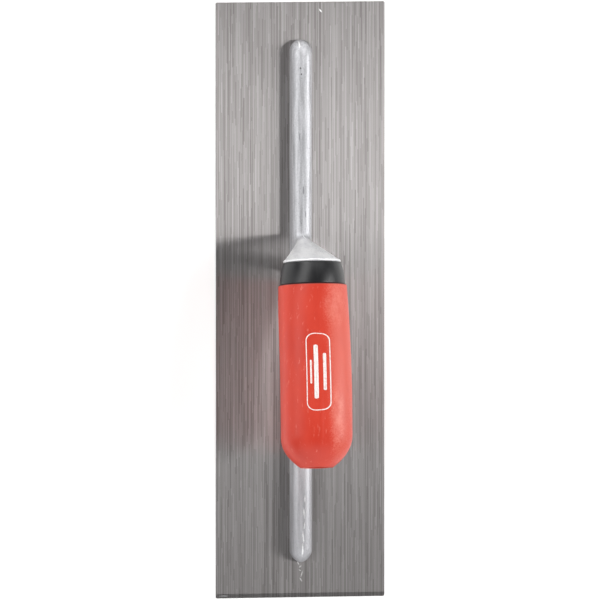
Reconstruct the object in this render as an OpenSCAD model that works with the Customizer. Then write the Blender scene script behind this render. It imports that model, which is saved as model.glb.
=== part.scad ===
// Finishing trowel: a steel blade, a cast aluminium mounting riveted along it,
// and a moulded handle that is screwed onto the mounting's tang.
// +X points to the toe, +Y to the left of the stroke, +Z up.
// The origin is the centre of the blade's working face, which lies on Z = 0.

/* [Blade] */
// Length of the blade
blade_l = 355.6; // [330:0.1:460]
// Width of the blade
blade_w = 101.6; // [90:0.1:130]
// Thickness of the blade's sheet steel
blade_t = 0.7; // [0.6:0.1:1]
// Radius of the blade's corners
blade_corner_r = 0.9; // [0.3:0.1:5]
// Length of the ground slope along the blade's heel
heel_slope_l = 2.6; // [0:0.1:6]
// How far that slope drops
heel_slope_drop = 0.3; // [0:0.05:0.5]

/* [Mounting rail] */
// Length of the cast rail
rail_l = 312.4; // [300:0.1:324]
// Distance of the rail's middle ahead of the blade's middle
rail_x = -0.7; // [-2:0.1:2]
// Width of the rail where it meets the blade
rail_w = 13; // [12.6:0.1:16]
// Height of the rail above the blade
rail_h = 10.5; // [9:0.1:11]
// Length over which the rail narrows to its rounded tips
rail_nose_l = 7; // [5:0.5:12]
// Length over which the rail's top slopes down to its tips
rail_slope_l = 11; // [8:0.5:16]
// Squareness of the rail's section, where 2 is an ellipse
rail_squareness = 3; // [2:0.1:4]

/* [Rivets] */
// Number of rivets along the rail
rivet_count = 9; // [5:2:11]
// Distance from the first rivet to the last
rivet_span = 288; // [260:1:294]
// Diameter of a rivet's shank
rivet_d = 4; // [3:0.1:4.5]
// Diameter of a rivet's countersunk head
rivet_head_d = 6.4; // [5:0.1:8]
// Depth of the cored holes in the rail
rivet_depth = 6; // [4:0.5:7]

/* [Neck and tang] */
// Distance of the flange's seat ahead of the blade's centre
flange_x = 25.5; // [20:0.5:32]
// Height of the flange's centre
flange_z = 45.5; // [42:0.5:52]
// Radius of the flange
flange_r = 17.2; // [16:0.1:18]
// Thickness of the flange
flange_t = 1.8; // [1.5:0.1:4]
// Half the width of the neck where it leaves the rail
neck_root_r = 5; // [4:0.1:5.5]
// Length of the tang behind the flange
tang_l = 75; // [60:1:85]
// Radius of the tang at the flange
tang_root_r = 6.5; // [6:0.1:7.5]
// Radius of the tang at its end
tang_end_r = 5; // [4.6:0.1:6]

/* [Handle] */
// Length of the handle from the flange to its butt
handle_l = 121.4; // [112:0.1:135]
// Angle at which the handle rises towards its butt
handle_tilt = 8.5; // [4:0.1:10]
// Length of the collar
collar_l = 13; // [10:0.5:16]
// Radius of the collar where it meets the grip
collar_r = 19.3; // [18.5:0.1:20]
// Radius of the grip at its front lip
grip_front_r = 20.2; // [19.6:0.1:21]
// Half the greatest width of the grip
grip_side_r = 20.8; // [20.5:0.1:23]
// Half the height of the grip near its butt
grip_rear_r = 19.2; // [18:0.1:21]
// How far the grip arches above the tang's axis
grip_hump = 4.8; // [0:0.1:5]
// Squareness of the grip's section along its middle, where 2 is an ellipse
grip_squareness = 2.8; // [2:0.1:3]
// Length over which the section turns from round to square behind the collar
grip_square_l = 32; // [20:1:50]
// Length of the rounding at the butt
butt_round_l = 19; // [14:0.5:24]
// Half the width of the flat at the butt
butt_flat_r = 9.8; // [9:0.1:11]
// Thickness of the soft sleeve
sleeve_t = 2; // [1.5:0.1:2.5]

/* [Handle screw] */
// Diameter of the handle screw
screw_d = 6; // [5:0.5:6]
// Radius of the screw's head
screw_head_r = 5; // [4.5:0.1:5.5]
// Height of the screw's head
screw_head_h = 3.4; // [3:0.1:4]
// Depth of the recess in the butt
recess_depth = 6.6; // [6:0.1:9]
// Radius of the recess in the butt
recess_r = 7; // [6.8:0.1:7.5]
// Thickness of the washer
washer_t = 1.2; // [1:0.1:1.6]

/* [Hidden] */

// A gap that lets one moulding slide over another.
slip = 0.05;
// How far a cutter runs past the face that it opens.
past = 1;
// Angles at which a superellipse's outline is sampled.
oval_steps = 28;
rail_steps = 16;
// Exponent with which the butt rounds off.
butt_power = 2.3;
// Distance from the butt at which the grip is widest.
grip_widest = 37;
grip_l = handle_l - collar_l;
// Length of screw thread inside the tang.
thread_l = 15;
screw_seat = handle_l - recess_depth;
core_wall = 3;
core_rib_t = 2.4;
core_boss_r = tang_root_r + 3;
core_closed_l = 22;
// Depth of the collar's spigot in the core.
spigot_l = 3;
tang_gap = 0.15;
// Depth to which the tang is rooted in the flange.
tang_root = 1;

// ---------------------------------------------------------------- helpers

// A point on a superellipse with half axes a and b.
function oval_point(a, b, n, angle) =
    [a * sign(cos(angle)) * pow(abs(cos(angle)), 2 / n),
     b * sign(sin(angle)) * pow(abs(sin(angle)), 2 / n)];

// A point at t on a cubic Bezier curve.
function bezier(p, t) =
    pow(1 - t, 3) * p[0] + 3 * pow(1 - t, 2) * t * p[1]
    + 3 * (1 - t) * t * t * p[2] + t * t * t * p[3];

// A closed skin over rings of equal point counts, capped at both ends.
// Each ring turns anticlockwise about the direction in which the rings follow on.
module loft(rings) {
    n = len(rings[0]);
    last = (len(rings) - 1) * n;
    sides = [for (i = [0 : len(rings) - 2], j = [0 : n - 1])
        let (a = i * n + j, b = i * n + (j + 1) % n)
        each [[a, b + n, b], [a, a + n, b + n]]];
    front = [for (j = [0 : n - 1]) j];
    back = [for (j = [n - 1 : -1 : 0]) last + j];
    polyhedron([for (r = rings) each r], concat([front], sides, [back]), convexity = 8);
}

// Puts children that run along +Z from the flange's seat onto the handle's axis.
module on_handle_axis() {
    translate([flange_x, 0, flange_z]) rotate([0, handle_tilt - 90, 0]) children();
}

// A point given by height w and side v at distance u along the handle's axis.
function handle_point(u, v, w) =
    [flange_x - u * cos(handle_tilt) + w * sin(handle_tilt),
     v,
     flange_z + u * sin(handle_tilt) + w * cos(handle_tilt)];

// ---------------------------------------------------------------- blade

function rivet_x(i) = rail_x - rivet_span / 2 + i * rivet_span / (rivet_count - 1);

module rivet_body(extra = 0) {
    cylinder(h = blade_t + rivet_depth, d = rivet_d, $fn = 32);
    translate([0, 0, -extra])
        cylinder(h = extra + 0.01, d = rivet_head_d, $fn = 32);
    cylinder(h = blade_t - 0.1, d1 = rivet_head_d, d2 = rivet_d, $fn = 32);
}

module blade() {
    slope = atan2(heel_slope_drop, heel_slope_l);
    color("#8f8d8c") difference() {
        linear_extrude(blade_t) union() {
            square([blade_l - 2 * blade_corner_r, blade_w], center = true);
            square([blade_l, blade_w - 2 * blade_corner_r], center = true);
            for (x = [-1, 1], y = [-1, 1])
                translate([x * (blade_l / 2 - blade_corner_r), y * (blade_w / 2 - blade_corner_r)])
                    circle(r = blade_corner_r, $fn = 24);
        }
        translate([heel_slope_l - blade_l / 2, 0, blade_t]) rotate([0, -slope, 0])
            translate([-heel_slope_l - past, -blade_w / 2 - past, 0])
                cube([heel_slope_l + past, blade_w + 2 * past, past]);
        for (i = [0 : rivet_count - 1]) translate([rivet_x(i), 0, 0]) rivet_body(past);
    }
}

module blade_rivets() {
    color("#a3a3a3") for (i = [0 : rivet_count - 1]) translate([rivet_x(i), 0, 0]) {
        cylinder(h = blade_t + rivet_depth, d = rivet_d, $fn = 32);
        cylinder(h = blade_t - 0.1, d1 = rivet_head_d, d2 = rivet_d, $fn = 32);
    }
}

// ---------------------------------------------------------------- mounting

// Share of full size left at distance d from a tip, over a nose of length l.
function nose(d, l) = d >= l ? 1 : sqrt(1 - pow(1 - d / l, 2));

function rail_ring(x) =
    let (d = rail_l / 2 - abs(x - rail_x),
         half_w = rail_w / 2 * nose(d, rail_nose_l),
         height = rail_h * nose(d, rail_slope_l))
    [for (k = [0 : rail_steps])
        let (p = oval_point(half_w, height, rail_squareness, 180 * k / rail_steps))
        [x, p[0], blade_t + max(0, p[1])]];

module rail() {
    nose_steps = [0.1, 0.5, 1.2, 2.2, 3.5, 5, 7, 9, 11];
    tail = [for (d = nose_steps) rail_x + d - rail_l / 2];
    toe = [for (i = [len(nose_steps) - 1 : -1 : 0]) rail_x + rail_l / 2 - nose_steps[i]];
    loft([for (x = concat(tail, toe)) rail_ring(x)]);
}

// The neck's rear and front outlines, as points of X and Z. They end inside the flange.
neck_end_u = -flange_t / 2;
neck_end_r = flange_r - 0.3;
function flange_edge(side) =
    let (p = handle_point(neck_end_u, 0, side * neck_end_r)) [p[0], p[2]];
neck_rear = [[10, 6], [15.5, 11], [19, 21], flange_edge(-1)];
neck_front = [[41, 6], [38, 14], [35, 38], flange_edge(1)];
// Height up to which the neck keeps its root's width.
neck_low_z = 16.5;
neck_end_z = (flange_edge(1)[1] + flange_edge(-1)[1]) / 2;
neck_steps = 12;
// Share of the way from rear to front at which the neck is widest: near its front at first.
function neck_widest(t) = 0.85 - 0.35 * t * t;

function neck_ring(t) =
    let (rear = bezier(neck_rear, t), front = bezier(neck_front, t),
         widest = rear + (front - rear) * neck_widest(t),
         grow = max(0, widest[1] - neck_low_z) / (neck_end_z - neck_low_z),
         half_w = neck_root_r + (neck_end_r - neck_root_r) * grow)
    [for (k = [0 : oval_steps - 1])
        let (p = oval_point(1, half_w, 2, 360 * k / oval_steps),
             reach = p[0] > 0 ? front - widest : widest - rear)
        [widest[0] + p[0] * reach[0], p[1], widest[1] + p[0] * reach[1]]];

module neck() {
    loft([for (k = [0 : neck_steps]) neck_ring(k / neck_steps)]);
}

module mounting() {
    color("#b9b9bd") difference() {
        union() {
            rail();
            neck();
            on_handle_axis() {
                translate([0, 0, -flange_t]) cylinder(h = flange_t, r = flange_r, $fn = 64);
                translate([0, 0, -tang_root])
                    cylinder(h = tang_l + tang_root, r1 = tang_root_r, r2 = tang_end_r, $fn = 48);
            }
        }
        for (i = [0 : rivet_count - 1]) translate([rivet_x(i), 0, blade_t - past])
            cylinder(h = rivet_depth + past, d = rivet_d, $fn = 32);
        on_handle_axis() translate([0, 0, tang_l - thread_l])
            cylinder(h = thread_l + past, d = screw_d, $fn = 32);
    }
}

// ---------------------------------------------------------------- handle

// The tang's own taper at distance u, widened by a running gap.
function tang_r(u) = tang_gap + tang_root_r
    + (tang_end_r - tang_root_r) * (u + tang_root) / (tang_l + tang_root);

module collar() {
    barrel_steps = 8;
    outline = [for (k = [0 : barrel_steps])
        let (u = collar_l * k / barrel_steps)
        [collar_r - (collar_r - flange_r) * pow(1 - u / collar_l, 2), u]];
    spigot_r = grip_front_r - sleeve_t - core_wall - slip;
    spigot = [[spigot_r, collar_l], [spigot_r, collar_l + spigot_l],
              [tang_r(collar_l + spigot_l), collar_l + spigot_l], [tang_r(0), 0]];
    color("#262628") on_handle_axis()
        rotate_extrude($fn = 96) polygon(concat(outline, spigot));
}

// Half the grip's width and height, and its axis's rise, at distance u behind the flange.
function grip_main_side(u) =
    grip_side_r - (grip_side_r - grip_front_r)
    * pow(max(0, handle_l - grip_widest - u) / (grip_l - grip_widest), 2);
function grip_main_high(u) =
    grip_front_r - (grip_front_r - grip_rear_r) * (u - collar_l) / grip_l;
function butt_share(u) =
    let (s = handle_l - u) s >= butt_round_l ? 0 : pow(1 - s / butt_round_l, butt_power);
function grip_side(u) = grip_main_side(u) - (grip_main_side(u) - butt_flat_r) * butt_share(u);
function grip_high(u) = grip_main_high(u) - (grip_main_high(u) - butt_flat_r) * butt_share(u);
function grip_rise(u) =
    let (t = min(1, max(0, (u - collar_l) / grip_l)))
    grip_hump * sin(180 * t) * (1 - pow(1 - t, 6));

function grip_power(u) =
    let (t = min(1, max(0, (u - collar_l) / grip_square_l)))
    2 + (grip_squareness - 2) * (1 - pow(1 - t, 3)) * (1 - butt_share(u));

// One ring of the handle, taken in by inset all round.
function grip_ring(u, inset, shape_u) =
    [for (k = [0 : oval_steps - 1])
        let (p = oval_point(grip_side(shape_u) - inset, grip_high(shape_u) - inset,
                            grip_power(shape_u), 360 * k / oval_steps))
        handle_point(u, -p[0], p[1] + grip_rise(shape_u))];

// Distances along the handle at which its rings stand, closer together at the butt.
grip_stops = concat(
    [for (k = [0 : 7]) collar_l + (grip_l - butt_round_l) * k / 7],
    [for (s = [15, 11.5, 8.5, 6, 4, 2.2, 1, 0]) handle_l - s]);

// The grip's outside, with a rounded lip at its front.
module grip_outside() {
    lip = [[collar_l + slip, 1], [collar_l + 0.3, 0.4], [collar_l + 1, 0]];
    loft(concat([for (p = lip) grip_ring(p[0], p[1], p[0])],
                [for (k = [1 : len(grip_stops) - 1]) grip_ring(grip_stops[k], 0, grip_stops[k])]));
}

// A body that follows the grip's outside at a depth, from u = start to near the butt.
module grip_inside(depth, start, finish) {
    inner = [for (u = grip_stops) if (u > start + 1 && u < finish - 1) u];
    loft(concat([grip_ring(start, depth, max(start, collar_l))],
                [for (u = inner) grip_ring(u, depth, u)],
                [grip_ring(finish, depth, finish)]));
}

module grip_sleeve() {
    color("#e0523a") difference() {
        grip_outside();
        grip_inside(sleeve_t, collar_l - past, handle_l - sleeve_t);
        on_handle_axis() translate([0, 0, screw_seat])
            cylinder(h = recess_depth + past, r = recess_r, $fn = 48);
    }
}

// A rigid moulding under the sleeve: a skin, a boss round the tang and four ribs.
module handle_core() {
    color("#3a3a3c") difference() {
        grip_inside(sleeve_t + slip, collar_l + slip, handle_l - sleeve_t - slip);
        difference() {
            grip_inside(sleeve_t + core_wall, collar_l - past, handle_l - core_closed_l);
            on_handle_axis() {
                translate([0, 0, collar_l + spigot_l])
                    cylinder(h = handle_l, r = core_boss_r, $fn = 48);
                for (turn = [45, 135]) rotate([0, 0, turn])
                    translate([-grip_side_r, -core_rib_t / 2, collar_l + spigot_l])
                        cube([2 * grip_side_r, core_rib_t, handle_l]);
            }
        }
        on_handle_axis() {
            translate([0, 0, -tang_root])
                cylinder(h = tang_l + tang_root + tang_gap, r1 = tang_root_r + tang_gap,
                         r2 = tang_end_r + tang_gap, $fn = 48);
            cylinder(h = handle_l, d = screw_d + 0.4, $fn = 32);
            translate([0, 0, screw_seat])
                cylinder(h = recess_depth + past, r = recess_r, $fn = 48);
        }
    }
}

module handle_screw() {
    head_u = screw_seat + washer_t;
    socket_w = 1.1;
    socket_l = 5;
    color("#b8b8b2") on_handle_axis() difference() {
        union() {
            translate([0, 0, tang_l - thread_l + 1])
                cylinder(h = head_u - tang_l + thread_l - 1, d = screw_d, $fn = 32);
            translate([0, 0, head_u])
                cylinder(h = screw_head_h, r1 = screw_head_r, r2 = screw_head_r - 1, $fn = 48);
        }
        for (turn = [0, 90]) rotate([0, 0, turn])
            translate([-socket_l / 2, -socket_w / 2, head_u + screw_head_h - 2])
                cube([socket_l, socket_w, 2 + past]);
    }
}

module screw_washer() {
    color("#c4c4be") on_handle_axis() translate([0, 0, screw_seat]) difference() {
        cylinder(h = washer_t, r = recess_r - 0.5, $fn = 48);
        translate([0, 0, -past]) cylinder(h = washer_t + 2 * past, d = screw_d + 0.4, $fn = 32);
    }
}

blade();
blade_rivets();
mounting();
collar();
handle_core();
grip_sleeve();
handle_screw();
screw_washer();
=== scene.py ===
"""A finishing trowel: brushed steel blade, cast aluminium mounting, soft red grip.

Lengths in this script are in millimetres, and mm() turns them into Blender's metres.
+X points to the toe, +Y to the left of the stroke, +Z up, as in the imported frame.
"""

import math

import bmesh
import bpy
import numpy as np
from mathutils import Matrix, Vector
from mathutils.bvhtree import BVHTree


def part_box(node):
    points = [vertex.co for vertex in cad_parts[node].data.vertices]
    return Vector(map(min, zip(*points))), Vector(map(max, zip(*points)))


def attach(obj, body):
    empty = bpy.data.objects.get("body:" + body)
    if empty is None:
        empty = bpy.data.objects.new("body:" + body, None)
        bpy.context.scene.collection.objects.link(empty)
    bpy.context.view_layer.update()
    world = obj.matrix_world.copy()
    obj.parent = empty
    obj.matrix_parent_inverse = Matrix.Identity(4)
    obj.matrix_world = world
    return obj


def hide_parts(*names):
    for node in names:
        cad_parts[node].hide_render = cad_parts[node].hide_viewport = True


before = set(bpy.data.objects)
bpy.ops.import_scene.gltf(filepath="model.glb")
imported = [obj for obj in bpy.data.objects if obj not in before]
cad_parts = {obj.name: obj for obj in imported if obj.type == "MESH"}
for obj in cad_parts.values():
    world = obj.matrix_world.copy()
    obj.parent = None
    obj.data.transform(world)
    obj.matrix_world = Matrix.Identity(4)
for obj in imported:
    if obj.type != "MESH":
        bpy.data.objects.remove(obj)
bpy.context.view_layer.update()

# ---------------------------------------------------------------- sizes from the frame

METRES_PER_MM = 0.001


def mm(length):
    """Millimetres as metres."""
    return length * METRES_PER_MM


def node_box(node):
    """A CAD node's lowest and highest corners, in millimetres."""
    low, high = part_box(node)
    return np.array(low) / METRES_PER_MM, np.array(high) / METRES_PER_MM


blade_low, blade_high = node_box("blade")
BLADE_LENGTH = blade_high[0] - blade_low[0]
BLADE_TOP = blade_high[2]

# The rail lies along the middle of the blade. The casting's smoothing draws its tips back,
# so it is made longer by that much.
TIP_SHRINK = 0.2
mounting_low, mounting_high = node_box("mounting")
RAIL_LENGTH = mounting_high[0] - mounting_low[0] + TIP_SHRINK
RAIL_MIDDLE = (mounting_high[0] + mounting_low[0]) / 2
RAIL_WIDTH = 13.0
RAIL_HEIGHT = 10.5
RAIL_NOSE_LENGTH = 7.0
RAIL_SLOPE_LENGTH = 11.0
RAIL_SQUARENESS = 3.0
# The rail's noses are round, except that the rear one is a little more pointed in plan.
ROUND_NOSE_POWER = 2.0
REAR_NOSE_POWER = 1.6

# The flange and the handle stand square to an axis that rises towards the butt. The tang
# runs back along it, inside the handle.
FLANGE_SEAT = np.array([25.5, 0.0, 45.5])
FLANGE_RADIUS = 17.2
FLANGE_THICKNESS = 1.8
HANDLE_TILT = math.radians(8.5)
TANG_LENGTH = 75.0
TANG_ROOT_RADIUS = 6.5
TANG_END_RADIUS = 5.0

# The collar, then the grip, whose section squares up behind the collar, is widest near its
# rear, arches above the handle's axis and rounds off to a flat butt.
HANDLE_LENGTH = 121.4
COLLAR_LENGTH = 13.0
COLLAR_RADIUS = 19.3
GRIP_FRONT_RADIUS = 20.2
GRIP_SIDE_RADIUS = 20.8
GRIP_REAR_RADIUS = 19.2
GRIP_ARCH = 4.8
GRIP_WIDEST = 37.0
GRIP_SQUARENESS = 2.8
GRIP_SQUARE_LENGTH = 32.0
GRIP_LENGTH = HANDLE_LENGTH - COLLAR_LENGTH
BUTT_ROUND_LENGTH = 19.0
BUTT_FLAT_RADIUS = 9.8
BUTT_POWER = 2.3
SLEEVE_THICKNESS = 2.0
RECESS_RADIUS = 7.0

# Inside the sleeve: the core's wall, which the collar's spigot plugs, and the fits' gaps.
CORE_WALL = 3.0
SPIGOT_LENGTH = 3.0
SPIGOT_GAP = 0.05
TANG_GAP = 0.15

# ---------------------------------------------------------------- mesh helpers

BACK = np.array([-math.cos(HANDLE_TILT), 0.0, math.sin(HANDLE_TILT)])
SIDE = np.array([0.0, 1.0, 0.0])
UP = np.array([math.sin(HANDLE_TILT), 0.0, math.cos(HANDLE_TILT)])


def on_handle(u, v, w):
    """Points u behind the flange's seat, v to the left of the handle's axis and w above it."""
    u, v, w = np.broadcast_arrays(u, v, w)
    return FLANGE_SEAT + u[..., None] * BACK + v[..., None] * SIDE + w[..., None] * UP


def superellipse(half_a, half_b, power, angles):
    """Points of a superellipse at the given angles, as two arrays."""
    c = np.cos(angles)
    s = np.sin(angles)
    a = half_a * np.sign(c) * np.abs(c) ** (2 / power)
    b = half_b * np.sign(s) * np.abs(s) ** (2 / power)
    return a, b


def bezier(points, t):
    """A point on a cubic Bezier curve."""
    p = np.array(points, float)
    return (
        (1 - t) ** 3 * p[0]
        + 3 * (1 - t) ** 2 * t * p[1]
        + 3 * (1 - t) * t**2 * p[2]
        + t**3 * p[3]
    )


def ramp(value, start, end):
    """A smooth step from 0 at start to 1 at end."""
    t = np.clip((value - start) / (end - start), 0, 1)
    return t * t * (3 - 2 * t)


def piece(name, points, faces):
    """A new smooth-shaded mesh object, from points in millimetres."""
    mesh = bpy.data.meshes.new(name)
    mesh.from_pydata((np.asarray(points) * METRES_PER_MM).tolist(), [], faces)
    mesh.validate()
    made = bpy.data.objects.new(name, mesh)
    bpy.context.scene.collection.objects.link(made)
    face_outwards(made)
    mesh.shade_smooth()
    return made


def face_outwards(made):
    """Turns every face of a closed mesh to look outwards."""
    mesh = bmesh.new()
    mesh.from_mesh(made.data)
    bmesh.ops.recalc_face_normals(mesh, faces=mesh.faces)
    mesh.to_mesh(made.data)
    mesh.free()


def skin(rings, closed=False):
    """Points and faces of a skin over rings of equal point counts.

    A closed skin joins its last ring to its first; an open one is capped at both ends.
    """
    count = len(rings[0])
    faces = []
    spans = len(rings) if closed else len(rings) - 1
    for i in range(spans):
        here = i * count
        there = (i + 1) % len(rings) * count
        for j in range(count):
            k = (j + 1) % count
            faces.append((here + j, here + k, there + k, there + j))
    if not closed:
        faces.append(tuple(range(count)))
        faces.append(tuple(range((len(rings) - 1) * count, len(rings) * count)))
    return np.concatenate(rings), faces


def lathe_rings(profile, count):
    """Rings about the handle's axis through (distance, radius) points."""
    angles = np.linspace(0, 2 * math.pi, count, endpoint=False)
    return [on_handle(u, r * np.cos(angles), r * np.sin(angles)) for u, r in profile]


def arc(centre, radius, start, end, steps):
    """(distance, radius) points of a circular arc in a lathe profile, angles in degrees."""
    turns = np.radians(np.linspace(start, end, steps))
    return [(centre[0] + radius * math.cos(t), centre[1] + radius * math.sin(t)) for t in turns]


def apply_modifiers(made):
    """Replaces an object's mesh by what its modifiers make of it."""
    graph = bpy.context.evaluated_depsgraph_get()
    result = bpy.data.meshes.new_from_object(made.evaluated_get(graph))
    made.modifiers.clear()
    made.data = result


def vertex_array(made):
    """An object's points, in millimetres."""
    points = np.empty(len(made.data.vertices) * 3)
    made.data.vertices.foreach_get("co", points)
    return points.reshape(-1, 3) / METRES_PER_MM


def set_vertices(made, points):
    """Moves an object's points to these, in millimetres."""
    made.data.vertices.foreach_set("co", (points * METRES_PER_MM).ravel())
    made.data.update()


def relax(made, weights, rounds):
    """Smooths a mesh by moving each point towards its neighbours, by its weight each round."""
    edges = np.empty(len(made.data.edges) * 2, np.int64)
    made.data.edges.foreach_get("vertices", edges)
    ends = edges.reshape(-1, 2)
    points = vertex_array(made)
    degree = np.bincount(ends.ravel(), minlength=len(points)).astype(float)
    for _ in range(rounds):
        sums = np.zeros_like(points)
        for axis in range(3):
            sums[:, axis] += np.bincount(ends[:, 0], points[ends[:, 1], axis], len(points))
            sums[:, axis] += np.bincount(ends[:, 1], points[ends[:, 0], axis], len(points))
        points += weights[:, None] * (sums / degree[:, None] - points)
    set_vertices(made, points)


# ---------------------------------------------------------------- blade

WELD_DISTANCE = 0.001
FLAT_WITHIN = math.radians(1)


def make_blade():
    """The sheet steel blade: the CAD shape, with its flat faces joined up."""
    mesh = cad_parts["blade"].data.copy()
    mesh.materials.clear()
    made = bpy.data.objects.new("blade_sheet", mesh)
    bpy.context.scene.collection.objects.link(made)
    work = bmesh.new()
    work.from_mesh(mesh)
    bmesh.ops.remove_doubles(work, verts=work.verts, dist=mm(WELD_DISTANCE))
    bmesh.ops.dissolve_limit(work, angle_limit=FLAT_WITHIN, verts=work.verts, edges=work.edges)
    work.to_mesh(mesh)
    work.free()
    map_across_grind(made)
    return made


def map_across_grind(made):
    """A UV map whose U runs across the grind lines, to give them their direction."""
    layer = made.data.uv_layers.new(name="across_grind")
    corners = np.empty(len(made.data.loops), np.int64)
    made.data.loops.foreach_get("vertex_index", corners)
    points = vertex_array(made)[corners]
    uv = np.stack([points[:, 1], points[:, 0]], axis=1) / BLADE_LENGTH
    layer.data.foreach_set("uv", uv.ravel())


# ---------------------------------------------------------------- mounting

# How finely each part of the casting is drawn before it is made one mesh.
RAIL_POINTS = 40
RAIL_STATION_GAP = 2.0
RAIL_TIP_STATIONS = 14
RAIL_TIP_START = 0.12
NECK_POINTS = 72
NECK_RINGS = 44
CAST_VOXEL = 0.45

# The neck is as wide as this up to NECK_LOW, and then widens evenly to the flange.
NECK_ROOT_HALF = 5.0
NECK_LOW = 16.5
# The neck's widest point, as a share of the way forward: near its front at the root, and
# halfway at the flange.
WIDEST_AT_ROOT = 0.85
WIDEST_SHIFT = 0.35
# The neck ends just inside the flange's edge.
NECK_INSET = 0.3
FLANGE_EDGE = 0.5
SEAT_CHAMFER = 0.15
# A lathed outline starts, and may end, at a small flat cap of this radius.
CAP_RADIUS = 0.5

# Each fillet is a reach from the corner, and rounds of smoothing there.
ROOT_FILLET = (3.4, 60)
FLANGE_FILLET = (1.1, 10)
FILLET_STRENGTH = 1.6
FILLET_LIMIT = 0.6
# The whole casting is smoothed a little: a weight, and rounds.
CAST_SMOOTHING = (0.5, 3)


def nose_share(distance, length, power=ROUND_NOSE_POWER):
    """Share of full size at a distance from the rail's tip; a lower power is more pointed."""
    t = np.clip(1 - distance / length, 0, 1)
    return (1 - t**power) ** (1 / power)


def rail_ring(x):
    """The rail's half-round outline at one station."""
    distance = RAIL_LENGTH / 2 - abs(x - RAIL_MIDDLE)
    pointed = ROUND_NOSE_POWER if x > RAIL_MIDDLE else REAR_NOSE_POWER
    half = RAIL_WIDTH / 2 * nose_share(distance, RAIL_NOSE_LENGTH, pointed)
    height = RAIL_HEIGHT * nose_share(distance, RAIL_SLOPE_LENGTH)
    angles = np.linspace(0, math.pi, RAIL_POINTS)
    y, z = superellipse(half, height, RAIL_SQUARENESS, angles)
    return np.stack([np.full_like(y, x), y, BLADE_TOP + np.maximum(z, 0)], axis=1)


def rail_rings():
    """The rail's outlines, closer together where its noses round off."""
    turns = np.linspace(RAIL_TIP_START, math.pi / 2, RAIL_TIP_STATIONS)
    tips = RAIL_SLOPE_LENGTH * (1 - np.cos(turns))
    half = RAIL_LENGTH / 2
    middle = np.arange(RAIL_SLOPE_LENGTH + 1, RAIL_LENGTH - RAIL_SLOPE_LENGTH, RAIL_STATION_GAP)
    stations = np.concatenate([tips, middle, RAIL_LENGTH - tips[::-1]])
    return [rail_ring(RAIL_MIDDLE - half + s) for s in stations]


def flange_edge(side):
    """X and Z of the flange's lowest or highest point, halfway through its thickness."""
    point = on_handle(-FLANGE_THICKNESS / 2, 0.0, side * (FLANGE_RADIUS - NECK_INSET))
    return point[[0, 2]]


def neck_rings():
    """The neck's outlines, from inside the rail up to the flange.

    Its side outlines are Bezier curves, each set by four points given as X and Z.
    """
    rear_line = [[10, 6], [15.5, 11], [19, 21], flange_edge(-1)]
    front_line = [[41, 6], [38, 14], [35, 38], flange_edge(1)]
    top = (flange_edge(1)[1] + flange_edge(-1)[1]) / 2
    angles = np.linspace(0, 2 * math.pi, NECK_POINTS, endpoint=False)
    rings = []
    for t in np.linspace(0, 1, NECK_RINGS):
        rear = bezier(rear_line, t)
        front = bezier(front_line, t)
        widest = rear + (front - rear) * (WIDEST_AT_ROOT - WIDEST_SHIFT * t * t)
        grow = max(0, widest[1] - NECK_LOW) / (top - NECK_LOW)
        half = NECK_ROOT_HALF + (FLANGE_RADIUS - NECK_INSET - NECK_ROOT_HALF) * grow
        along, across = superellipse(1, half, 2, angles)
        reach = np.where((along > 0)[:, None], front - widest, widest - rear)
        line = widest + along[:, None] * reach
        rings.append(np.stack([line[:, 0], across, line[:, 1]], axis=1))
    return rings


def surface_tree(rings):
    """A search tree over a skin's faces, for distances in millimetres."""
    points, faces = skin(rings)
    return BVHTree.FromPolygons(points.tolist(), faces)


def near(tree, points, reach):
    """1 on the tree's surface, falling to 0 at that distance from it."""
    gaps = np.array([tree.find_nearest(Vector(p))[3] for p in points])
    return np.clip(1 - gaps / reach, 0, 1)


def make_mounting():
    """The aluminium casting, with its neck blended into the rail and the flange."""
    front = -FLANGE_THICKNESS
    edge = FLANGE_EDGE
    flange_profile = [(front, CAP_RADIUS)]
    flange_profile += arc((front + edge, FLANGE_RADIUS - edge), edge, 180, 90, 6)
    flange_profile += [(-SEAT_CHAMFER, FLANGE_RADIUS), (0, FLANGE_RADIUS - SEAT_CHAMFER)]
    flange_profile += [(0, CAP_RADIUS)]
    tang_profile = [(-1, CAP_RADIUS), (-1, TANG_ROOT_RADIUS)]
    tang_profile += [(TANG_LENGTH - 1, TANG_END_RADIUS), (TANG_LENGTH, TANG_END_RADIUS - 1)]
    solids = {
        "rail": rail_rings(),
        "neck": neck_rings(),
        "flange": lathe_rings(flange_profile, 120),
        "tang": lathe_rings(tang_profile, 48),
    }
    points = []
    faces = []
    for rings in solids.values():
        start = sum(len(p) for p in points)
        more_points, more_faces = skin(rings)
        points.append(more_points)
        faces += [tuple(start + i for i in face) for face in more_faces]
    made = piece("mounting_casting", np.concatenate(points), faces)
    remesh = made.modifiers.new("cast_in_one", "REMESH")
    remesh.mode = "VOXEL"
    remesh.voxel_size = mm(CAST_VOXEL)
    apply_modifiers(made)
    strength, rounds = CAST_SMOOTHING
    relax(made, np.full(len(made.data.vertices), strength), rounds)
    trees = {name: surface_tree(rings) for name, rings in solids.items()}
    blend(made, trees["rail"], trees["neck"], *ROOT_FILLET)
    blend(made, trees["flange"], trees["neck"], *FLANGE_FILLET)
    points = vertex_array(made)
    points[:, 2] = np.maximum(points[:, 2], BLADE_TOP)
    set_vertices(made, points)
    made.data.shade_smooth()
    return made


def blend(made, one, other, reach, rounds):
    """Rounds the inside corner where two surfaces meet."""
    points = vertex_array(made)
    corner = np.minimum(near(one, points, reach), near(other, points, reach))
    relax(made, np.clip(FILLET_STRENGTH * corner, 0, FILLET_LIMIT), rounds)


# ---------------------------------------------------------------- handle

GRIP_POINTS = 144
COLLAR_ROUNDING = 0.45
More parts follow.
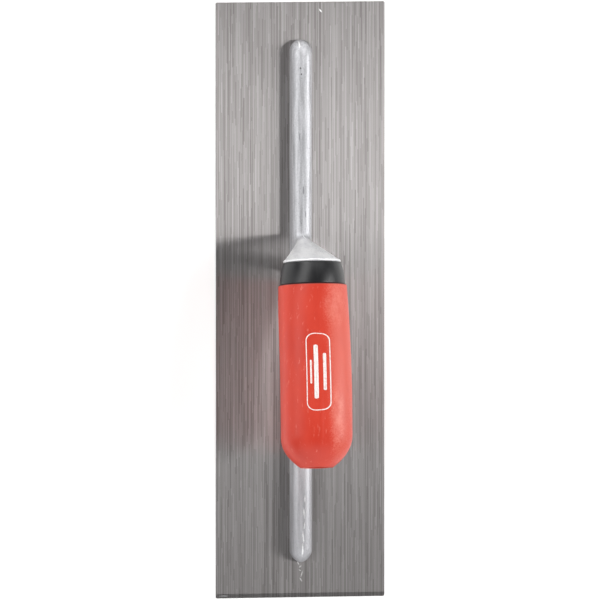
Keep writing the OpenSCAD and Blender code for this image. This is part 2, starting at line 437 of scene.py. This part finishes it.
# The mould's parting ridge, and where along the handle it grows from faint to full.
PARTING_HEIGHT = 0.14
PARTING_WIDTH = 0.3
PARTING_FAINT = 0.35
PARTING_GROWS = (70, 95)
# The grip's front lip: distance behind the collar, and how far inside the full outline.
LIP = [(0.05, 1.0), (0.1, 0.62), (0.25, 0.3), (0.5, 0.11), (0.8, 0.02), (1.1, 0.0)]
RECESS_ROUNDING = 0.6
# The inside of the sleeve starts this far behind the collar.
SLEEVE_GAP = 0.05


def collar_radius(u):
    """The collar's outside radius: it swells towards the grip."""
    return COLLAR_RADIUS - (COLLAR_RADIUS - FLANGE_RADIUS) * (1 - u / COLLAR_LENGTH) ** 2


def make_collar():
    """The glossy collar between the flange and the grip, with its spigot inside the core."""
    rounding = COLLAR_ROUNDING
    shell = [(u, collar_radius(u)) for u in np.linspace(rounding, COLLAR_LENGTH - rounding, 16)]
    front = arc((rounding, collar_radius(rounding) - rounding), rounding, 180, 100, 6)
    rear_centre = (COLLAR_LENGTH - rounding, collar_radius(COLLAR_LENGTH - rounding) - rounding)
    rear = arc(rear_centre, rounding, 80, 0, 6)
    spigot = GRIP_FRONT_RADIUS - SLEEVE_THICKNESS - CORE_WALL - SPIGOT_GAP
    end = COLLAR_LENGTH + SPIGOT_LENGTH
    bore = TANG_ROOT_RADIUS + TANG_GAP
    inside = [(COLLAR_LENGTH, spigot), (end, spigot), (end, bore), (0, bore)]
    angles = grip_angles()
    rings = []
    for u, radius in front + shell + rear:
        swollen = radius + parting_ridge(u, angles)
        rings.append(on_handle(u, swollen * np.cos(angles), swollen * np.sin(angles)))
    for u, radius in inside:
        rings.append(on_handle(u, radius * np.cos(angles), radius * np.sin(angles)))
    points, faces = skin(rings, closed=True)
    return piece("collar_ring", points, faces)


def grip_side(u):
    """Half the grip's width before its butt rounds off."""
    back = np.maximum(0, HANDLE_LENGTH - GRIP_WIDEST - u) / (GRIP_LENGTH - GRIP_WIDEST)
    return GRIP_SIDE_RADIUS - (GRIP_SIDE_RADIUS - GRIP_FRONT_RADIUS) * back**2


def grip_high(u):
    """Half the grip's height before its butt rounds off."""
    share = (u - COLLAR_LENGTH) / GRIP_LENGTH
    return GRIP_FRONT_RADIUS - (GRIP_FRONT_RADIUS - GRIP_REAR_RADIUS) * share


def butt_share(u):
    """0 along the grip, rising to 1 at its butt."""
    back = np.clip(1 - (HANDLE_LENGTH - u) / BUTT_ROUND_LENGTH, 0, 1)
    return back**BUTT_POWER


def grip_rise(u):
    """How far the grip's middle arches above the handle's axis."""
    t = np.clip((u - COLLAR_LENGTH) / GRIP_LENGTH, 0, 1)
    return GRIP_ARCH * np.sin(math.pi * t) * (1 - (1 - t) ** 6)


def grip_power(u):
    """The section's exponent: round at the collar and the butt, squarer between."""
    t = np.clip((u - COLLAR_LENGTH) / GRIP_SQUARE_LENGTH, 0, 1)
    return 2 + (GRIP_SQUARENESS - 2) * (1 - (1 - t) ** 3) * (1 - butt_share(u))


def grip_surface(u, angle, lift=0.0):
    """Points of the grip's outside at u along the handle and an angle round it."""
    share = butt_share(u)
    half_v = grip_side(u) * (1 - share) + BUTT_FLAT_RADIUS * share
    half_w = grip_high(u) * (1 - share) + BUTT_FLAT_RADIUS * share
    v, w = superellipse(half_v + lift, half_w + lift, grip_power(u), angle)
    return on_handle(u, v, w + grip_rise(u))


def grip_angles():
    """Angles round the grip, with more of them at the mould's parting lines."""
    even = np.linspace(0, 2 * math.pi, GRIP_POINTS, endpoint=False)
    close = np.radians([-1.6, -1.1, -0.7, -0.35, 0.35, 0.7, 1.1, 1.6])
    fine = np.concatenate([math.pi / 2 + close, 3 * math.pi / 2 + close])
    return np.sort(np.concatenate([even, fine]))


def parting_ridge(u, angles):
    """Height of the fine ridge that the mould leaves along the top and the bottom."""
    off = np.minimum(abs(angles - math.pi / 2), abs(angles - 3 * math.pi / 2))
    distance = off * GRIP_FRONT_RADIUS
    strength = PARTING_FAINT + (1 - PARTING_FAINT) * ramp(u, *PARTING_GROWS)
    return PARTING_HEIGHT * strength * np.exp(-((distance / PARTING_WIDTH) ** 2))


def make_grip():
    """The soft sleeve: outside, rounded lip and butt, recess for the screw, and inside."""
    angles = grip_angles()
    rings = [grip_surface(COLLAR_LENGTH + u, angles, -inset) for u, inset in LIP]
    body_end = HANDLE_LENGTH - BUTT_ROUND_LENGTH
    for u in np.linspace(COLLAR_LENGTH + 3, body_end, 40):
        rings.append(grip_surface(u, angles, parting_ridge(u, angles)))
    for share in np.linspace(0, 1, 24)[1:]:
        u = body_end + BUTT_ROUND_LENGTH * math.sin(share * math.pi / 2)
        rings.append(grip_surface(u, angles, parting_ridge(u, angles) * (1 - share)))
    edge = RECESS_ROUNDING
    butt = [(HANDLE_LENGTH, BUTT_FLAT_RADIUS - 0.5)]
    butt += arc((HANDLE_LENGTH - edge, RECESS_RADIUS + edge), edge, 0, -90, 6)
    butt += [(HANDLE_LENGTH - SLEEVE_THICKNESS, RECESS_RADIUS)]
    for u, radius in butt:
        rings.append(on_handle(u, radius * np.cos(angles), radius * np.sin(angles)))
    for u in np.linspace(HANDLE_LENGTH - SLEEVE_THICKNESS, COLLAR_LENGTH + SLEEVE_GAP, 24):
        rings.append(grip_surface(u, angles, -SLEEVE_THICKNESS))
    points, faces = skin(rings, closed=True)
    return piece("grip_moulding", points, faces)


# ---------------------------------------------------------------- printed mark

# Where the mark starts behind the flange's seat, its size, and how far left of the top.
MARK_FRONT = 43.0
MARK_LENGTH = 46.0
MARK_WIDTH = 9.6
MARK_SHIFT = 1.2
BORDER_LINE = 0.55
# Each bar: how far left of the mark's middle line it stands, its length and its width.
MARK_BARS = [(-2.2, 22.0, 1.1), (0.1, 32.0, 1.6), (2.3, 14.0, 0.9)]
# A bar is inked from its outline in to a slit of this width.
BAR_SLIT = 0.02
PRINT_THICKNESS = 0.05


def print_ribbon(outline_a, outline_b):
    """Points and faces of a thin film between two outlines laid on the grip.

    Outlines hold distances along the handle and distances round it from its top.
    """
    rings = []
    for (u, across), lift in (
        (outline_a, -PRINT_THICKNESS),
        (outline_a, PRINT_THICKNESS),
        (outline_b, PRINT_THICKNESS),
        (outline_b, -PRINT_THICKNESS),
    ):
        angle = math.pi / 2 - across / GRIP_FRONT_RADIUS
        rings.append(grip_surface(u, angle, lift + parting_ridge(u, angle)))
    section = np.stack(rings, axis=1)
    return skin(list(section), closed=True)


def stadium(length, width, count):
    """A round-ended outline round zero, as distances along and across."""
    radius = width / 2
    half = (length - width) / 2
    turn = np.linspace(-math.pi / 2, math.pi / 2, count)
    run = np.linspace(half, -half, 2 * count)[1:-1]
    u = np.concatenate([half + radius * np.cos(turn), run, -half - radius * np.cos(turn), -run])
    edge = np.full_like(run, radius)
    across = np.concatenate([radius * np.sin(turn), edge, -radius * np.sin(turn), -edge])
    return u, across


def make_mark():
    """A plain printed mark: a round-ended border round three bars of different lengths."""
    middle = MARK_FRONT + MARK_LENGTH / 2
    points = []
    faces = []

    def lay(outer, inner):
        """Adds the ink between two outlines to the mark."""
        start = sum(len(p) for p in points)
        sides = [(middle + u, MARK_SHIFT + across) for u, across in (outer, inner)]
        more_points, more_faces = print_ribbon(*sides)
        points.append(more_points)
        faces.extend(tuple(start + i for i in face) for face in more_faces)

    lay(
        stadium(MARK_LENGTH, MARK_WIDTH, 40),
        stadium(MARK_LENGTH - 2 * BORDER_LINE, MARK_WIDTH - 2 * BORDER_LINE, 40),
    )
    for across, length, width in MARK_BARS:
        outer_u, outer_v = stadium(length, width, 10)
        inner_u, inner_v = stadium(length - width, BAR_SLIT, 10)
        lay((outer_u, outer_v + across), (inner_u, inner_v + across))
    return piece("grip_mark", np.concatenate(points), faces)


# ---------------------------------------------------------------- material helpers


def srgb(code):
    """A linear colour from an sRGB hex code."""
    parts = [int(code[i : i + 2], 16) / 255 for i in (1, 3, 5)]
    linear = [c / 12.92 if c <= 0.04045 else ((c + 0.055) / 1.055) ** 2.4 for c in parts]
    return (*linear, 1.0)


def add(tree, kind, inputs=None, **settings):
    """A node with its settings, and with inputs that are values or sockets to link."""
    node = tree.nodes.new(kind)
    for name, value in settings.items():
        setattr(node, name, value)
    for name, value in (inputs or {}).items():
        if isinstance(value, bpy.types.NodeSocket):
            tree.links.new(value, node.inputs[name])
        else:
            node.inputs[name].default_value = value
    return node


def new_material(name):
    """An empty node material and its tree."""
    material = bpy.data.materials.new(name)
    material.use_nodes = True
    material.node_tree.nodes.clear()
    return material, material.node_tree


def finish_material(tree, shader):
    """Joins a shader to the material's output."""
    add(tree, "ShaderNodeOutputMaterial", {"Surface": shader.outputs[0]})


def paint(made, material):
    """Gives an object that one material."""
    made.data.materials.clear()
    made.data.materials.append(material)


MM_PER_METRE = 1 / METRES_PER_MM


def pattern_space(tree, size):
    """Coordinates in which a pattern's period is size millimetres along X, Y and Z."""
    place = add(tree, "ShaderNodeTexCoord")
    scale = tuple(MM_PER_METRE / s for s in size)
    mapped = add(tree, "ShaderNodeMapping", {"Vector": place.outputs["Object"], "Scale": scale})
    return mapped.outputs["Vector"]


def noise(tree, size, detail, roughness=0.5):
    """Fractal noise whose largest features are size millimetres long."""
    made = add(
        tree,
        "ShaderNodeTexNoise",
        {"Vector": pattern_space(tree, size), "Scale": 1.0, "Detail": detail,
         "Roughness": roughness},
    )
    return made.outputs["Fac"]


def position(tree, axis):
    """Where a point lies along X, Y or Z, in millimetres."""
    place = add(tree, "ShaderNodeTexCoord")
    parts = add(tree, "ShaderNodeSeparateXYZ", {"Vector": place.outputs["Object"]})
    return multiply(tree, parts.outputs[axis], MM_PER_METRE)


def span(tree, value, source, target=(0.0, 1.0)):
    """A value carried from one range to another, and held at the ends."""
    made = add(
        tree,
        "ShaderNodeMapRange",
        {"Value": value, "From Min": source[0], "From Max": source[1], "To Min": target[0],
         "To Max": target[1]},
    )
    return made.outputs["Result"]


def blend_values(tree, share, one, other):
    """The first value, with a share of the second mixed in."""
    made = add(tree, "ShaderNodeMix", {"Factor": share, "A": one, "B": other})
    return made.outputs["Result"]


def blend_colours(tree, share, one, other):
    """The first colour, with a share of the second mixed in; colours are hex codes or sockets."""
    ends = [srgb(end) if isinstance(end, str) else end for end in (one, other)]
    made = add(
        tree,
        "ShaderNodeMix",
        {"Factor": share, "A": ends[0], "B": ends[1]},
        data_type="RGBA",
    )
    return made.outputs["Result"]


def two_tone(tree, value, source, dark, pale):
    """A colour that runs from one tone to another as the value crosses a range."""
    return blend_colours(tree, span(tree, value, source), dark, pale)


def bumps(tree, height, strength, depth):
    """A normal roughened by a height pattern that is depth millimetres deep."""
    made = add(
        tree, "ShaderNodeBump", {"Height": height, "Strength": strength, "Distance": mm(depth)}
    )
    return made.outputs["Normal"]


def multiply(tree, one, other):
    """The product of two values."""
    return add(tree, "ShaderNodeMath", {0: one, 1: other}, operation="MULTIPLY").outputs[0]


def behind_seat(tree):
    """How far a point lies behind the flange's seat along the handle, in millimetres."""
    along = multiply(tree, position(tree, "X"), float(BACK[0]))
    climb = multiply(tree, position(tree, "Z"), float(BACK[2]))
    both = add(tree, "ShaderNodeMath", {0: along, 1: climb})
    start = float(FLANGE_SEAT @ BACK)
    behind = add(tree, "ShaderNodeMath", {0: both.outputs[0], 1: start}, operation="SUBTRACT")
    return behind.outputs[0]


def scratches(tree, width, length):
    """Random values from 0 to 1, one to each strip of that width and length along X."""
    line = add(
        tree,
        "ShaderNodeMath",
        {0: multiply(tree, position(tree, "Y"), 1 / width)},
        operation="FLOOR",
    )
    shift = add(tree, "ShaderNodeTexWhiteNoise", {"W": line.outputs[0]}, noise_dimensions="1D")
    run = add(
        tree,
        "ShaderNodeMath",
        {0: multiply(tree, position(tree, "X"), 1 / length), 1: shift.outputs["Value"]},
    )
    part = add(tree, "ShaderNodeMath", {0: run.outputs[0]}, operation="FLOOR")
    cell = add(tree, "ShaderNodeCombineXYZ", {"X": line.outputs[0], "Y": part.outputs[0]})
    made = add(
        tree, "ShaderNodeTexWhiteNoise", {"Vector": cell.outputs[0]}, noise_dimensions="2D"
    )
    return made.outputs["Value"]


def spot(tree, centre, size, turn=0.0):
    """A mask that is 1 within a ragged ellipse seen from above, placed in millimetres."""
    place = add(tree, "ShaderNodeTexCoord")
    local = add(
        tree,
        "ShaderNodeMapping",
        {"Vector": place.outputs["Object"], "Location": (mm(centre[0]), mm(centre[1]), 0.0),
         "Rotation": (0.0, 0.0, math.radians(turn)), "Scale": (mm(size[0]), mm(size[1]), 1.0)},
        vector_type="TEXTURE",
    )
    reach = add(tree, "ShaderNodeVectorMath", {0: local.outputs["Vector"]}, operation="LENGTH")
    ragged = noise(tree, (0.9, 0.9, 0.9), 3.0, 0.7)
    edge = add(tree, "ShaderNodeMath", {0: reach.outputs["Value"], 1: ragged})
    return span(tree, edge.outputs[0], (1.5, 1.0))


def spots(tree, places):
    """One mask for several ragged ellipses, each given as centre, size and turn."""
    mask = spot(tree, *places[0])
    for place in places[1:]:
        both = add(tree, "ShaderNodeMath", {0: mask, 1: spot(tree, *place)}, operation="MAXIMUM")
        mask = both.outputs[0]
    return mask


# ---------------------------------------------------------------- materials

# Marks on the metal and the grip, each given as centre, half-size and turn in degrees.

# Nicks near white at the blade's heel corner and near its toe: real nicks with painted glints.
# Pale arcs behind the rail: partly scrape marks, partly a painted reflection of the rail's rear
# nose.
NICKS_AND_GLINTS = [((-176.4, 46.2), (0.4, 3.6), 0), ((172.6, -12.2), (1.5, 0.5), 40)]
SCRAPES_AND_REFLECTION = [
    ((-157.4, 1.2), (1.8, 0.45), 25),
    ((-159.4, 0.0), (1.2, 0.45), -48),
    ((-161.6, 0.2), (1.0, 0.4), 60),
    ((-163.8, -0.9), (2.4, 0.45), -18),
    ((-167.2, -0.4), (1.6, 0.45), 30),
]
# Width and length of the grind lines.
LONG_LINE = (0.66, 150)
SHORT_LINE = (0.5, 26)


def brushed_spring_steel():
    """Hardened spring steel, belt ground along its length.

    The grinding leaves long fine lines, so highlights stretch across them. A belt's lines
    are about 0.1 mm apart. Those drawn here are 0.5 to 0.7 mm wide, coarse enough to show.
    """
    material, tree = new_material("brushed_spring_steel")
    belt = noise(tree, (300, 1.6, 1.6), 2.0)
    long_lines = scratches(tree, *LONG_LINE)
    short_lines = scratches(tree, *SHORT_LINE)
    both = blend_values(tree, 0.5, long_lines, short_lines)
    lines = blend_values(tree, 0.2, both, belt)
    ground = two_tone(tree, lines, (0.15, 0.85), "#7c7877", "#a4a1a0")
    # Painted reflection of the rail's rear nose, partly real scrapes: pale arcs behind the rail.
    scrapes_and_reflection = blend_colours(tree, spots(tree, SCRAPES_AND_REFLECTION), ground, "#d2d1d0")
    # Painted glints: the nicks are coloured near white.
    colour = blend_colours(tree, spots(tree, NICKS_AND_GLINTS), scrapes_and_reflection, "#fbfbfb")
    rough = span(tree, belt, (0.3, 0.7), (0.31, 0.285))
    across = add(tree, "ShaderNodeTangent", direction_type="UV_MAP", uv_map="across_grind")
    shader = add(
        tree,
        "ShaderNodeBsdfPrincipled",
        {"Base Color": colour, "Metallic": 1.0, "Anisotropic": 1.0, "Roughness": rough,
         "Normal": bumps(tree, belt, 0.2, 0.012), "Tangent": across.outputs["Tangent"]},
    )
    finish_material(tree, shader)
    return material


# Small dark spots along the rail's top.
DARK_SPOTS = [((139.0, 1.5), (0.8, 0.6), 0), ((135.4, 0.9), (0.7, 0.5), 0)]
# Painted highlights on the rail's crown, partly real worn bright metal: its toe end, its rear end
# and the neck's root.
GLINTS_AND_WEAR = [
    ((153.0, 1.6), (2.4, 0.6), 0),
    ((-118.0, -1.2), (2.6, 0.4), 0),
    ((-126.5, -0.7), (3.4, 0.5), 4),
    ((-134.0, -0.9), (2.4, 0.4), -6),
    ((-141.0, -0.2), (3.8, 0.55), 5),
    ((-148.5, 0.1), (4.4, 0.6), 0),
    ((38.6, -0.3), (1.4, 0.4), 30),
]
# Dark stains along the rail's toe half.
STAINS = [
    ((66.3, -0.3), (3.6, 0.5), 0),
    ((52.0, -1.6), (2.6, 0.4), 0),
    ((98.0, 2.0), (3.0, 0.4), 0),
]
# Behind FETTLED_START the rail is filed, fully so after FETTLED_FADE. It grows duller over
# the DULL_FADE ahead of that station.
FETTLED_START = -118.0
FETTLED_FADE = 25.0
DULL_FADE = 40.0
# The casting is painted paler between these heights above the rail, a painted light on the neck.
BRIGHT_FROM = 2.0
BRIGHT_ABOVE = 9.0


def cast_aluminium():
    """Die-cast aluminium, tumbled: a pale even metal with a fine dimpled grain.

    The neck is painted paler with height, a painted light; the rail is dulled by use, its rear
    end was filed by hand, and painted highlights stand on its crown.
    """
    material, tree = new_material("cast_aluminium")
    grain = noise(tree, (1.0, 0.8, 0.8), 4.0, 0.7)
    flow = noise(tree, (26, 1.8, 1.8), 4.0, 0.6)
    pits = span(tree, noise(tree, (2.0, 1.0, 1.0), 2.0), (0.25, 0.31))
    mottle = blend_values(tree, 0.35, flow, grain)
    even = two_tone(tree, mottle, (0.36, 0.62), "#aaaaad", "#dadadd")
    along = position(tree, "X")
    rear_end = span(tree, along, (FETTLED_START, FETTLED_START + DULL_FADE), (0.45, 0.0))
    dulled = blend_colours(tree, rear_end, even, "#97979b")
    # Painted light: higher parts, towards the neck, are painted paler.
    rise = (RAIL_HEIGHT + BRIGHT_FROM, RAIL_HEIGHT + BRIGHT_ABOVE)
    painted_light_share = span(tree, position(tree, "Z"), rise, (0.0, 0.8))
    cloud = noise(tree, (9, 7, 16), 3.0)
    bright = two_tone(tree, cloud, (0.35, 0.6), "#e6e6e8", "#ffffff")
    tone = blend_colours(tree, painted_light_share, dulled, bright)
    pitted = blend_colours(tree, pits, "#8c8c90", tone)
    stained = blend_colours(tree, spots(tree, STAINS), pitted, "#97979b")
    # Small dark spots on the rail's top.
    dark_spotted = blend_colours(tree, spots(tree, DARK_SPOTS), stained, "#6a6a6e")
    # Painted highlights, partly real wear: near-white, smoother metal on the rail's crown and
    # noses.
    wear_and_highlights = spots(tree, GLINTS_AND_WEAR)
    colour = blend_colours(tree, wear_and_highlights, dark_spotted, "#ffffff")
    rough = blend_values(tree, wear_and_highlights, span(tree, mottle, (0.35, 0.65), (0.44, 0.6)), 0.3)
    file_marks = noise(tree, (1.1, 2.4, 1.1), 4.0, 0.75)
    fettled = span(tree, along, (FETTLED_START - FETTLED_FADE, FETTLED_START), (1.0, 0.0))
    rear = add(
        tree,
        "ShaderNodeBump",
        {"Height": file_marks, "Strength": fettled, "Distance": mm(0.35),
         "Normal": bumps(tree, mottle, 0.8, 0.14)},
    )
    shader = add(
        tree,
        "ShaderNodeBsdfPrincipled",
        {"Base Color": colour, "Metallic": 0.6, "Roughness": rough,
         "Normal": rear.outputs["Normal"]},
    )
    finish_material(tree, shader)
    return material


def glossy_abs():
    """Black ABS from a polished mould: a soft sheen that wanders a little."""
    material, tree = new_material("glossy_black_abs")
    wander = noise(tree, (5, 5, 5), 4.0)
    shader = add(
        tree,
        "ShaderNodeBsdfPrincipled",
        {"Base Color": srgb("#141416"), "Roughness": span(tree, wander, (0.3, 0.7), (0.3, 0.38)),
         "IOR": 1.54, "Normal": bumps(tree, wander, 0.3, 0.04)},
    )
    finish_material(tree, shader)
    return material


# Where the grip's right side is painted paler, beside the collar and behind the mark: scuffs, and
# a painted sheen where the light falls.
SHEEN_AND_SCUFFS = [
    ((2.0, -9.0), (15.0, 8.0), 0),
    ((-62.0, -9.8), (22.0, 5.0), 0),
]
# A painted sheen: the grip's right flank, on the lit side, is painted evenly paler.
PAINTED_SHEEN_BAND = ((-30.0, -13.0), (78.0, 10.0), 0)
# A painted dark line of shade where the grip meets the collar, and its soft rear edge.
SEAM_WIDTH = 0.8
SEAM_FADE = 0.3


def soft_pvc():
    """Orange-red soft PVC: satin, with a faint orange peel, handling marks, a painted sheen on
    its right flank and a painted line of shade at the collar.
    """
    material, tree = new_material("soft_red_pvc")
    peel = noise(tree, (0.9, 0.9, 0.9), 3.0)
    cloud = noise(tree, (26, 12, 12), 4.0)
    rubbed = span(tree, noise(tree, (9, 2.2, 2.2), 5.0, 0.7), (0.6, 0.74), (0.0, 0.4))
    clean = two_tone(tree, cloud, (0.35, 0.65), "#c73019", "#cf3820")
    patchy = span(tree, noise(tree, (7, 5, 5), 6.0, 0.65), (0.34, 0.66), (0.0, 0.3))
    # Scuffs and painted sheen: pale patches on the grip's right side.
    scuffs_and_sheen = multiply(tree, spots(tree, SHEEN_AND_SCUFFS), patchy)
    # Painted sheen along the grip's right flank.
    sheen_band = multiply(tree, spot(tree, *PAINTED_SHEEN_BAND), 0.25)
    pale = add(tree, "ShaderNodeMath", {0: scuffs_and_sheen, 1: sheen_band}).outputs[0]
    wear_and_highlights = add(tree, "ShaderNodeMath", {0: pale, 1: rubbed}, operation="MAXIMUM").outputs[0]
    wear_and_sheen = blend_colours(tree, wear_and_highlights, clean, "#f09a88")
    seam_end = COLLAR_LENGTH + SEAM_WIDTH
    # Painted shade: a dark line at the grip's front, where it meets the collar.
    seam_shade = span(tree, behind_seat(tree), (seam_end - SEAM_FADE, seam_end), (1.0, 0.0))
    shader = add(
        tree,
        "ShaderNodeBsdfPrincipled",
        {"Base Color": blend_colours(tree, seam_shade, wear_and_sheen, "#56170f"),
         "Roughness": span(tree, cloud, (0.3, 0.7), (0.42, 0.52)), "IOR": 1.5,
         "Normal": bumps(tree, peel, 0.25, 0.05)},
    )
    finish_material(tree, shader)
    return material


def white_pad_print():
    """White pad-printing ink, thin enough in places for the red to show."""
    material, tree = new_material("white_pad_print")
    wear = noise(tree, (2.2, 2.2, 2.2), 5.0, 0.7)
    shader = add(
        tree,
        "ShaderNodeBsdfPrincipled",
        {"Base Color": two_tone(tree, wear, (0.5, 0.72), "#f6efec", "#eba79b"),
         "Roughness": 0.5, "IOR": 1.5},
    )
    finish_material(tree, shader)
    return material


def moulded_core_plastic():
    """Black glass-filled nylon, as moulded: matt and slightly uneven."""
    material, tree = new_material("black_glass_filled_nylon")
    grain = noise(tree, (0.6, 0.6, 0.6), 3.0)
    shader = add(
        tree,
        "ShaderNodeBsdfPrincipled",
        {"Base Color": blend_colours(tree, grain, "#1f1f21", "#2f2f31"), "Roughness": 0.6,
         "IOR": 1.53, "Normal": bumps(tree, grain, 0.4, 0.05)},
    )
    finish_material(tree, shader)
    return material


def zinc_plate():
    """Bright zinc plating on steel fasteners: a slightly clouded silver."""
    material, tree = new_material("zinc_plated_steel")
    cloud = noise(tree, (2.5, 2.5, 2.5), 4.0)
    shader = add(
        tree,
        "ShaderNodeBsdfPrincipled",
        {"Base Color": blend_colours(tree, cloud, "#b9b8b0", "#d8d7d0"), "Metallic": 1.0,
         "Roughness": span(tree, cloud, (0.3, 0.7), (0.22, 0.4))},
    )
    finish_material(tree, shader)
    return material


def ground_rivet():
    """Aluminium rivets ground flush with the blade: paler than the steel round them."""
    material, tree = new_material("flush_ground_aluminium")
    lines = noise(tree, (30, 0.4, 0.4), 3.0)
    shader = add(
        tree,
        "ShaderNodeBsdfPrincipled",
        {"Base Color": blend_colours(tree, lines, "#b4b3b2", "#dddcdb"), "Metallic": 1.0,
         "Roughness": 0.42, "Normal": bumps(tree, lines, 0.5, 0.01)},
    )
    finish_material(tree, shader)
    return material


# ---------------------------------------------------------------- stage

# The camera's height over the blade, and how far it stands towards the toe and the left
# for each unit of that height.
CAMERA_HEIGHT = 8000.0
LEAN_TO_TOE = 0.079
LEAN_TO_LEFT = 0.158
# The lens is as long as it takes to frame this much at the blade.
VIEW_SIZE = 357.4
SENSOR_WIDTH = 36.0
FARTHEST_SEEN = 200000.0
FLOOR_HALF = 60000.0
FLOOR_GAP = 0.02


def make_camera():
    """Looks down on the blade from a little ahead and to the left, toe upwards."""
    lean = Vector((LEAN_TO_TOE, LEAN_TO_LEFT, 1))
    back = lean.normalized()
    right = Vector((1, 0, 0)).cross(back).normalized()
    upward = back.cross(right)
    distance = CAMERA_HEIGHT * lean.length
    data = bpy.data.cameras.new("camera")
    data.sensor_width = SENSOR_WIDTH
    data.lens = SENSOR_WIDTH * distance / VIEW_SIZE
    data.clip_end = mm(FARTHEST_SEEN)
    camera = bpy.data.objects.new("camera", data)
    turn = Matrix((right, upward, back)).transposed().to_4x4()
    camera.matrix_world = Matrix.Translation(back * mm(distance)) @ turn
    bpy.context.scene.collection.objects.link(camera)
    bpy.context.scene.camera = camera


def make_floor():
    """A plain pale floor."""
    half = FLOOR_HALF
    corners = [(-half, -half), (half, -half), (half, half), (-half, half)]
    floor = piece("floor", [(x, y, -FLOOR_GAP) for x, y in corners], [(0, 1, 2, 3)])
    material, tree = new_material("matt_white_floor")
    shader = add(
        tree,
        "ShaderNodeBsdfPrincipled",
        {"Base Color": srgb("#f6f6f5"), "Roughness": 1.0, "Specular IOR Level": 0.0,
         "Emission Color": srgb("#ffffff"), "Emission Strength": 0.18},
    )
    finish_material(tree, shader)
    paint(floor, material)


# The lights face the station LIGHT_STATION on the blade, from this far away.
LIGHT_DISTANCE = 2000.0
LIGHT_STATION = -65.0
# The sides that they stand on, as angles from the toe.
RIGHT = -90
LEFT = 90
TOE = 0
HEEL = 180
TOE_AND_LEFT = 62


def soft_light(name, azimuth, elevation, size, watts):
    """A rectangular soft light that faces the trowel, angles in degrees and size in mm."""
    turn = math.radians(azimuth)
    climb = math.radians(elevation)
    level = Vector((math.cos(turn), math.sin(turn), 0))
    direction = level * math.cos(climb) + Vector((0, 0, math.sin(climb)))
    data = bpy.data.lights.new(name, "AREA")
    data.shape = "RECTANGLE"
    data.size = mm(size[0])
    data.size_y = mm(size[1])
    data.energy = watts
    light = bpy.data.objects.new(name, data)
    light.location = direction * mm(LIGHT_DISTANCE) + Vector((mm(LIGHT_STATION), 0, 0))
    light.rotation_euler = direction.to_track_quat("Z", "Y").to_euler()
    light.visible_camera = False
    bpy.context.scene.collection.objects.link(light)


def make_lights():
    """A key light and soft panels on the right, weaker panels all round, a dim surround."""
    soft_light("key", RIGHT, 49, (200, 200), 4.9)
    soft_light("right_panel", RIGHT, 36, (600, 500), 3.0)
    soft_light("right_low_panel", RIGHT, 26, (1500, 800), 9.6)
    soft_light("right_wide_panel", RIGHT, 42, (1500, 900), 8.0)
    soft_light("left_panel", LEFT, 20, (1200, 900), 3.0)
    soft_light("left_high_panel", LEFT, 65, (1200, 900), 2.7)
    soft_light("toe_low_panel", TOE, 28, (2600, 1500), 18)
    soft_light("toe_panel", TOE_AND_LEFT, 42, (2400, 1000), 19)
    soft_light("heel_panel", HEEL, 30, (2800, 1700), 21)
    make_surround()


def make_surround():
    """An even surround, brighter towards the horizon than overhead."""
    world = bpy.data.worlds.new("surround")
    bpy.context.scene.world = world
    world.use_nodes = True
    tree = world.node_tree
    sky = tree.nodes["Background"]
    sky.inputs["Color"].default_value = srgb("#f4f5f8")
    place = add(tree, "ShaderNodeTexCoord")
    parts = add(tree, "ShaderNodeSeparateXYZ", {"Vector": place.outputs["Generated"]})
    strength = span(tree, parts.outputs["Z"], (0.0, 0.4), (0.45, 0.15))
    tree.links.new(strength, sky.inputs["Strength"])


# ---------------------------------------------------------------- build

make_camera()
make_floor()
make_lights()
bpy.context.scene.view_settings.view_transform = "Standard"

steel = brushed_spring_steel()
aluminium = cast_aluminium()
abs_plastic = glossy_abs()
pvc = soft_pvc()
ink = white_pad_print()
nylon = moulded_core_plastic()
zinc = zinc_plate()
rivet_metal = ground_rivet()

PIECES = [
    (make_blade, steel, "blade", "blade_steel"),
    (make_mounting, aluminium, "mounting", "cast_metal"),
    (make_collar, abs_plastic, "collar", "collar_plastic"),
    (make_grip, pvc, "grip_sleeve", "grip_rubber"),
    (make_mark, ink, None, "grip_rubber"),
]
for make, material, node, slot in PIECES:
    made = make()
    paint(made, material)
    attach(made, "root")
    if node:
        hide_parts(node)

for node, material in (
    ("blade_rivets", rivet_metal),
    ("handle_core", nylon),
    ("handle_screw", zinc),
    ("screw_washer", zinc),
):
    paint(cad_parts[node], material)
